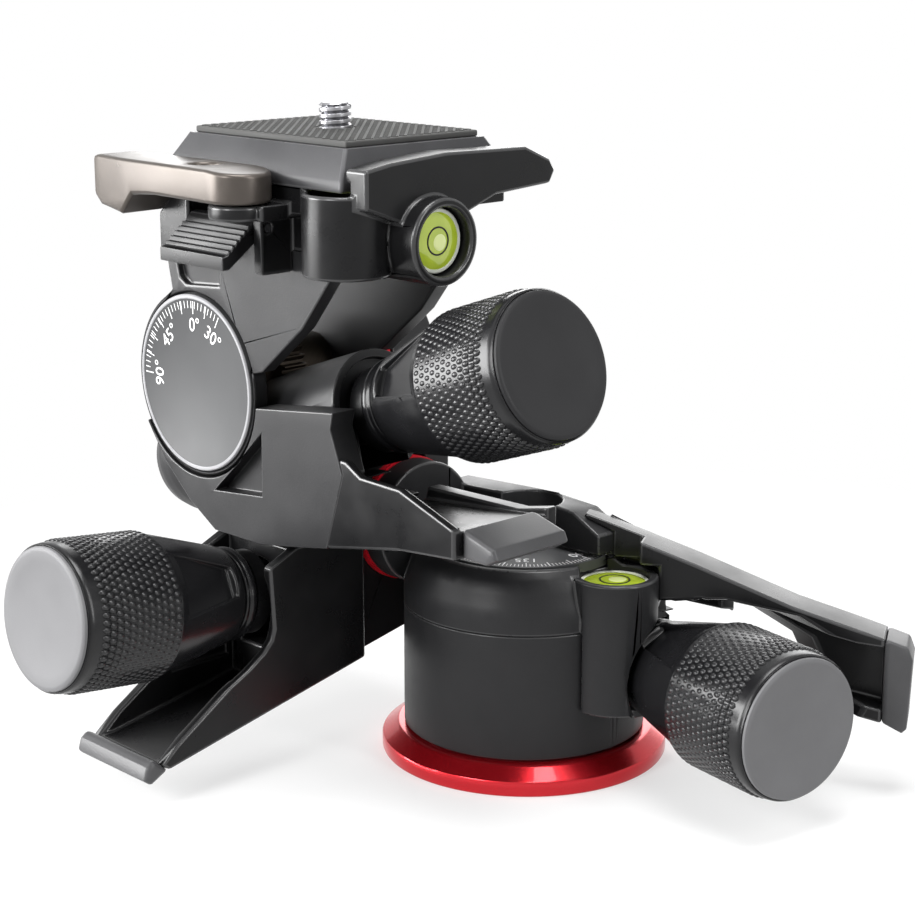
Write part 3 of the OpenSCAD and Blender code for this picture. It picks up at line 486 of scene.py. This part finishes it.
# Each level's place, with local +Z out of its window, and its radius and depth in millimetres.
level_places = {
    "pan_vial": (Matrix.Translation((0.025, 0, 0.0418)), 7.0, 6.4),
    "tube_vial": (Matrix.Translation((-0.0024, -0.046, 0.1184)), 6.5, 5.4),
    "face_vial": (Matrix.Translation((0.0098, -0.034, 0.1116))
                  @ Matrix.Rotation(math.radians(90), 4, "Y"), 6.1, 6.8)}
white_ring_steps = (4, 5, 6, 7)
bubble_drift = Matrix.Translation((0.0003, 0.0005, 0))
for name, (place, radius, depth) in level_places.items():
    body = carried_by[name]
    piece = turned_shape(name + "_level", [
        (0, 0.0), (radius * 0.45, -0.03), (radius * 0.70, -0.12), (radius * 0.86, -0.3),
        (radius * 0.88, -0.35), (radius * 0.90, -0.2), (radius * 0.97, -0.2), (radius, -0.35),
        (radius, -depth), (0, -depth)], place, [liquid, level_white], rings=64,
        band=white_ring_steps)
    stand_for(piece, name)
    ring = turned_shape(name + "_centre_ring", [
        (radius * 0.40, -0.08), (radius * 0.40, 0.06), (radius * 0.45, 0.06),
        (radius * 0.45, -0.08)], place, [level_black], rings=48)
    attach(ring, body)
    drop = turned_shape(name + "_bubble", [
        (0, 0.05), (radius * 0.14, 0.04), (radius * 0.25, 0.0), (radius * 0.29, -0.08),
        (0, -0.1)], place @ bubble_drift, [bubble_finish], rings=32)
    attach(drop, body)

# ---- Quick release ---------------------------------------------------------------------------
# Sliding plate of cast aluminium, painted black, with a ribbed rubber pad on top. The lever is
# a gun-metal casting with a finger tab, and its pivot post has the same finish.
plate_skin = grained_finish("plate_paint", (0.028, 0.028, 0.030), (0.055, 0.055, 0.058),
                            0.32, 0.46)
# The edge paint is lighter than the plate: a painted highlight on the rounded edges.
plate_edge_highlight = grained_finish("plate_paint_edge_highlight", (0.06, 0.06, 0.062), (0.10, 0.10, 0.105),
                            0.24, 0.34, depth=0.00001)
rounded("camera_plate", 0.0006, plate_skin, plate_edge_highlight)
pad_rubber = grained_finish("pad_rubber", (0.045, 0.045, 0.044), (0.085, 0.085, 0.083),
                            0.62, 0.82, size=1800.0)
rounded("plate_pad", 0.0003, pad_rubber)


def span(name):
    """The lowest and the highest corner of a solid."""
    spots = [corner.co for corner in solids[name].data.vertices]
    return (Vector([min(spot[k] for spot in spots) for k in range(3)]),
            Vector([max(spot[k] for spot in spots) for k in range(3)]))


def pad_weave(name, place, finish, body, sizes):
    """Short ribs that lie across each other like a weave, made by a Geometry Nodes tree: the
    field's length and width, the ribs each way, their size, and a clear round in the middle."""
    tree, given, result = rule_tree(name, sizes)
    field = add_node(tree, "GeometryNodeMeshGrid", Size_X=given["Field Long"],
                     Size_Y=given["Field Wide"], Vertices_X=given["Count Long"],
                     Vertices_Y=given["Count Wide"])
    index = add_node(tree, "GeometryNodeInputIndex").outputs[0]
    lean = add_node(tree, "ShaderNodeMapRange", Value=worked_out(tree, "MODULO", index, 2),
                    To_Min=math.radians(-45), To_Max=math.radians(45))
    store = add_node(tree, "GeometryNodeStoreNamedAttribute", data_type="FLOAT", Name="lean",
                     Geometry=field.outputs["Mesh"], Value=lean.outputs["Result"])
    spot = add_node(tree, "GeometryNodeInputPosition")
    reach = add_node(tree, "ShaderNodeVectorMath", spot.outputs[0], operation="LENGTH")
    near = add_node(tree, "FunctionNodeCompare", operation="LESS_THAN",
                    A=reach.outputs["Value"], B=given["Clear"])
    cleared = add_node(tree, "GeometryNodeDeleteGeometry", Geometry=store.outputs["Geometry"],
                       Selection=near.outputs["Result"])
    size = add_node(tree, "ShaderNodeCombineXYZ", given["Rib Long"], given["Rib Wide"],
                    given["Rib Rise"])
    rib = add_node(tree, "GeometryNodeMeshCube", Size=size.outputs[0])
    read = add_node(tree, "GeometryNodeInputNamedAttribute", data_type="FLOAT", Name="lean")
    turn = add_node(tree, "ShaderNodeCombineXYZ", Z=read.outputs["Attribute"])
    copies = add_node(tree, "GeometryNodeInstanceOnPoints", Points=cleared.outputs["Geometry"],
                      Instance=rib.outputs["Mesh"], Rotation=turn.outputs[0])
    real = add_node(tree, "GeometryNodeRealizeInstances", copies.outputs["Instances"])
    paint = add_node(tree, "GeometryNodeSetMaterial", Geometry=real.outputs["Geometry"],
                     Material=finish)
    feed(tree, result, Geometry=paint.outputs["Geometry"])
    return grown(name, tree, sizes, place, body)


low, high = span("plate_pad")
pad_middle = (low + high) / 2
weave_inset = 0.0011
pad_weave("pad_ribs", Matrix.Translation((pad_middle.x, pad_middle.y, high.z)), pad_rubber, "top", {
    "Field Long": high.x - low.x - 2 * weave_inset,
    "Field Wide": high.y - low.y - 2 * weave_inset, "Count Long": 41, "Count Wide": 31,
    "Rib Long": 0.00135, "Rib Wide": 0.0005, "Rib Rise": 0.0003, "Clear": 0.0042})
lever_skin = grained_finish("lever_gunmetal", (0.060, 0.052, 0.046), (0.105, 0.092, 0.082),
                            0.26, 0.38, metal=0.6, depth=0.00002, strength=0.3)
rounded("release_lever", 0.0008, lever_skin)
rounded("safety_catch", 0.00025, polymer, polymer_edge_highlight)
rounded("lever_post", 0.0003, lever_skin)

# ---- Camera screw ----------------------------------------------------------------------------
# A quarter-inch steel screw with a rolled thread and a coin slot. It is a stack of rings of
# points: the thread is where a ring's reach follows the helix, and the tip is chamfered.
thread_r, core_r, neck_r, pitch, thread_long = 0.003175, 0.00252, 0.00256, 0.00127, 0.005
flank, neck_gap, chamfer_long, chamfer_slope = 2.2, 0.0001, 0.0005, 1.1
slot_long, slot_wide, slot_deep, slot_turn = 0.008, 0.0009, 0.0009, math.radians(35)
around, steps = 48, 72
low, high = span("camera_screw")
screw_middle, screw_top = (low + high) / 2, high.z


def thread_reach(height, share_round):
    """The thread's radius at a height and a share of the way round the screw."""
    share = (height / pitch - share_round) % 1.0
    crest = min(1.0, flank * (1 - abs(2 * share - 1)))
    chamfered = thread_r - chamfer_slope * max(0.0, height - screw_top + chamfer_long)
    return min(core_r + (thread_r - core_r) * crest, chamfered)


shaped = bmesh.new()
neck_heights = [low.z, screw_top - thread_long - neck_gap]
thread_heights = [screw_top - thread_long + thread_long * step / steps for step in range(steps + 1)]
rings = []
for height in neck_heights + thread_heights:
    ring = []
    for k in range(around):
        reach = neck_r if height in neck_heights else thread_reach(height, k / around)
        ring.append(shaped.verts.new((screw_middle.x + reach * math.cos(2 * math.pi * k / around),
                                      screw_middle.y + reach * math.sin(2 * math.pi * k / around),
                                      height)))
    rings.append(ring)
shaped.faces.new(list(reversed(rings[0])))
shaped.faces.new(rings[-1])
for below, above in zip(rings, rings[1:]):
    for k in range(around):
        after = (k + 1) % around
        shaped.faces.new([below[k], below[after], above[after], above[k]])
screw_mesh = bpy.data.meshes.new("camera_screw_thread")
shaped.to_mesh(screw_mesh)
shaped.free()
screw_mesh.materials.append(steel)
screw_piece = new_piece("camera_screw_thread", screw_mesh)
slot_mesh = bpy.data.meshes.new("slot_cutter")
cutter = bmesh.new()
bmesh.ops.create_cube(cutter, size=1.0, matrix=(
    Matrix.Translation((screw_middle.x, screw_middle.y, screw_top))
    @ Matrix.Rotation(slot_turn, 4, "Z")
    @ Matrix.Diagonal((slot_long, slot_wide, 2 * slot_deep, 1))))
cutter.to_mesh(slot_mesh)
cutter.free()
slot_cutter = new_piece("slot_cutter", slot_mesh)
cut = screw_piece.modifiers.new("slot", "BOOLEAN")
cut.operation = "DIFFERENCE"
cut.solver = "EXACT"
cut.object = slot_cutter
settled(screw_piece, "camera_screw")
bpy.data.objects.remove(slot_cutter)

# ---- Knobs -----------------------------------------------------------------------------------
# Three moulded knobs with a cone, three finger scoops and a band of staggered domes, each closed
# by a matte cap pressed into its end. The caps on the pan and front knobs are lighter.
knob_skin = grained_finish("knob_satin", (0.005, 0.005, 0.0055), (0.010, 0.010, 0.011),
                           0.20, 0.29, size=3600.0, depth=0.00001, strength=0.25, shine=0.30)
knurl_skin = grained_finish("knurl_satin", (0.010, 0.010, 0.011), (0.019, 0.019, 0.020),
                            0.20, 0.30, size=3000.0, depth=0.00002, shine=0.34)
cap_grey = grained_finish("cap_grey", (0.115, 0.115, 0.119), (0.155, 0.155, 0.160), 0.40, 0.54,
                          size=3200.0, depth=0.00002)
cap_dark = grained_finish("cap_dark", (0.012, 0.012, 0.013), (0.018, 0.018, 0.019), 0.40, 0.54,
                          size=3200.0, depth=0.00002)
# How far each knob's root is from the middle of its worm, and what finish its cap has.
knob_roots = {"side_knob": (0.0395, cap_dark), "front_knob": (0.039, cap_grey),
              "pan_knob": (0.024, cap_grey)}


def knurl_rows(name, place, finish, body, sizes):
    """Staggered low domes round a cylinder, made by a Geometry Nodes tree: rows along local Z,
    bumps round it, radius, first height, row step, bump width, length and rise."""
    tree, given, result = rule_tree(name, sizes)
    total = worked_out(tree, "MULTIPLY", given["Rows"], given["Around"])
    line = add_node(tree, "GeometryNodeMeshLine", Count=total)
    index = add_node(tree, "GeometryNodeInputIndex").outputs[0]
    row = worked_out(tree, "FLOOR", worked_out(tree, "DIVIDE", index, given["Around"]))
    column = worked_out(tree, "MODULO", index, given["Around"])
    stagger = worked_out(tree, "MULTIPLY", worked_out(tree, "MODULO", row, 2), 0.5)
    share = worked_out(tree, "DIVIDE", worked_out(tree, "ADD", column, stagger), given["Around"])
    angle = worked_out(tree, "MULTIPLY", share, 2 * math.pi)
    height = worked_out(tree, "ADD", worked_out(tree, "MULTIPLY", row, given["Step"]),
                        given["Start"])
    out = add_node(tree, "ShaderNodeCombineXYZ", X=given["Radius"], Z=height)
    spot = add_node(tree, "ShaderNodeVectorRotate", rotation_type="Z_AXIS", Vector=out.outputs[0],
                    Angle=angle)
    put = add_node(tree, "GeometryNodeSetPosition", Geometry=line.outputs["Mesh"],
                   Position=spot.outputs[0])
    dome = add_node(tree, "GeometryNodeMeshIcoSphere", Radius=1.0, Subdivisions=2)
    size = add_node(tree, "ShaderNodeCombineXYZ", given["Rise"], given["Wide"], given["Long"])
    turn = add_node(tree, "ShaderNodeCombineXYZ", Z=angle)
    copies = add_node(tree, "GeometryNodeInstanceOnPoints", Points=put.outputs["Geometry"],
                      Instance=dome.outputs["Mesh"], Rotation=turn.outputs[0],
                      Scale=size.outputs[0])
    real = add_node(tree, "GeometryNodeRealizeInstances", copies.outputs["Instances"])
    smooth = add_node(tree, "GeometryNodeSetShadeSmooth", Geometry=real.outputs["Geometry"])
    paint = add_node(tree, "GeometryNodeSetMaterial", Geometry=smooth.outputs["Geometry"],
                     Material=finish)
    feed(tree, result, Geometry=paint.outputs["Geometry"])
    return grown(name, tree, sizes, place, body)


for name, (root, cap_skin) in knob_roots.items():
    turning = joints[name + "_turn"]
    along = Vector(turning["axis"])
    place = (Matrix.Translation(Vector(turning["pos_m"]) + along * root)
             @ along.to_track_quat("Z", "X").to_matrix().to_4x4())
    rounded(name, 0.0005, knob_skin)
    knurl_rows(name + "_knurl", place, knurl_skin, carried_by[name], {
        "Rows": 12, "Around": 64, "Radius": 0.01455, "Start": 0.0238, "Step": 0.00150,
        "Wide": 0.00066, "Long": 0.00098, "Rise": 0.00055})
    cap = turned_shape(name + "_cap_face", [
        (0, 44.2), (4.0, 44.25), (8.0, 44.45), (11.0, 44.75), (12.9, 45.0), (13.5, 44.95),
        (13.85, 44.7), (13.95, 44.3), (13.95, 42.6), (0, 42.6)], place, [cap_skin])
    stand_for(cap, name + "_cap")

# ---- Floor, light and camera -----------------------------------------------------------------
# A pale floor that keeps the object's shadow and fades to white away from it, soft lamps like a
# studio's boxes, and the camera where the photograph was taken from.
floor_half = 2
floor_mesh = bpy.data.meshes.new("floor")
floor_mesh.from_pydata([(-floor_half, -floor_half, 0), (floor_half, -floor_half, 0),
                        (floor_half, floor_half, 0), (-floor_half, floor_half, 0)],
                       [], [(0, 1, 2, 3)])
floor = new_piece("floor", floor_mesh)
floor_skin, floor_tree, floor_shader = new_finish("floor_paper", (0.86, 0.86, 0.86), 0.9)
floor_mesh.materials.append(floor_skin)
floor_place = add_node(floor_tree, "ShaderNodeTexCoord")
floor_reach = add_node(floor_tree, "ShaderNodeVectorMath", floor_place.outputs["Object"],
                       operation="LENGTH")
floor_fade = add_node(floor_tree, "ShaderNodeMapRange", Value=floor_reach.outputs["Value"],
                      From_Min=0.06, From_Max=0.24, To_Min=0.55, To_Max=1.0)
floor_glow = add_node(floor_tree, "ShaderNodeEmission", Strength=1.0)
floor_mix = add_node(floor_tree, "ShaderNodeMixShader", floor_fade.outputs["Result"],
                     floor_shader.outputs[0], floor_glow.outputs[0])
floor_out = next(n for n in floor_tree.nodes if n.type == "OUTPUT_MATERIAL")
feed(floor_tree, floor_out, Surface=floor_mix.outputs[0])

# The room is white where the camera, a reflection or glass shows it, and its own light is dim.
world = bpy.data.worlds.new("studio")
bpy.context.scene.world = world
world.use_nodes = True
room = world.node_tree
room.nodes.clear()
ray = add_node(room, "ShaderNodeLightPath").outputs
soft = add_node(room, "ShaderNodeBackground", Strength=0.14)
white = add_node(room, "ShaderNodeBackground", Strength=1.0, Color=(1, 1, 1, 1))
straight = worked_out(room, "MAXIMUM", ray["Is Camera Ray"], ray["Is Transmission Ray"])
sees_white = worked_out(room, "MAXIMUM", straight, ray["Is Glossy Ray"])
room_mix = add_node(room, "ShaderNodeMixShader", sees_white, soft.outputs[0], white.outputs[0])
add_node(room, "ShaderNodeOutputWorld", Surface=room_mix.outputs[0])

lamp_aim = Vector((0, 0, 0.07))


def soft_box(name, spot, size, watts):
    """A rectangular lamp aimed at the middle of the object."""
    lamp = bpy.data.lights.new(name, "AREA")
    lamp.shape = "RECTANGLE"
    lamp.size, lamp.size_y = size
    lamp.energy = watts
    stand = new_piece(name, lamp)
    stand.location = spot
    stand.rotation_mode = "QUATERNION"
    stand.rotation_quaternion = (lamp_aim - Vector(spot)).to_track_quat("-Z", "Y")


soft_box("left_box", (-0.55, -0.58, 0.14), (0.50, 0.60), 18.0)
soft_box("front_box", (0.05, -0.80, 0.45), (0.30, 0.40), 5.0)
soft_box("right_box", (0.70, 0.10, 0.45), (0.10, 0.7), 3.0)
soft_box("top_box", (0.05, -0.05, 0.80), (0.40, 0.40), 6.0)
soft_box("back_box", (-0.50, 0.65, 0.35), (0.7, 0.5), 3.5)

# The camera's place, aim and lens come from a fit to the photograph.
eye = bpy.data.cameras.new("photo_camera")
eye.sensor_width = 36
eye.lens = 82.82
camera = new_piece("photo_camera", eye)
camera.location = (0.2931, -0.3011, 0.1684)
camera.rotation_mode = "QUATERNION"
camera.rotation_quaternion = Vector((-0.6992, 0.6717, -0.2448)).to_track_quat("-Z", "Y")
bpy.context.scene.camera = camera
bpy.context.scene.view_settings.view_transform = "Standard"
